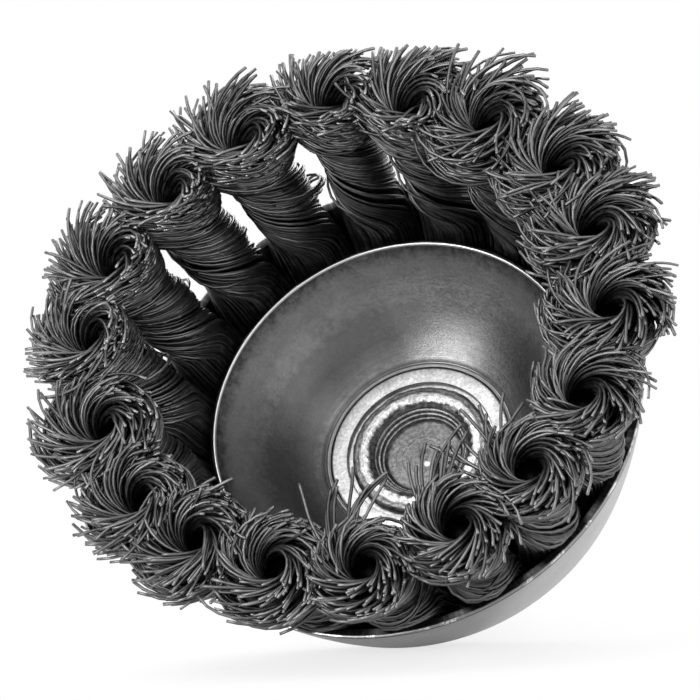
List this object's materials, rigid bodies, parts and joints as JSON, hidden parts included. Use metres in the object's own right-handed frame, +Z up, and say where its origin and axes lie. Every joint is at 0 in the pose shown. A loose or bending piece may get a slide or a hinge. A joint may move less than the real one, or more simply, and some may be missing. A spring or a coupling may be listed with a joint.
{
  "type": "wire cup brush",
  "caption": "Twist-knot wire cup brush on a round shank: pressed cup and dish hold a ring of flared steel wire knots; lies on its side.",
  "frame": {"origin": "on the floor, below the centre of the bounding box", "axes": "+Z up; the brush lies with its axis in the YZ plane, the shank end towards +Y on the floor and the bristle side towards -Y, raised about 32 degrees"},
  "size_m": [0.088, 0.0876, 0.0785],
  "materials": {
    "wire_steel": "dark drawn steel wire, satin",
    "cup_steel": "smooth satin pressed steel",
    "dish_steel": "satin pressed steel with turning scratches near the washer",
    "plate_steel": "plain pressed steel",
    "washer_steel": "bright bead-blasted face",
    "hub_steel": "turned steel, bright ragged rolled lip"
  },
  "bodies": {
    "root": {"outer_cup": "cup_steel", "inner_dish": "dish_steel", "knot_ring": "plate_steel", "clamp_washer": "washer_steel", "shank_hub": "hub_steel", "knot_01": "wire_steel", "knot_02": "wire_steel", "knot_03": "wire_steel", "knot_04": "wire_steel", "knot_05": "wire_steel", "knot_06": "wire_steel", "knot_07": "wire_steel", "knot_08": "wire_steel", "knot_09": "wire_steel", "knot_10": "wire_steel", "knot_11": "wire_steel", "knot_12": "wire_steel", "knot_13": "wire_steel", "knot_14": "wire_steel", "knot_15": "wire_steel", "knot_16": "wire_steel", "knot_17": "wire_steel", "knot_18": "wire_steel"}
  },
  "joints": []
}
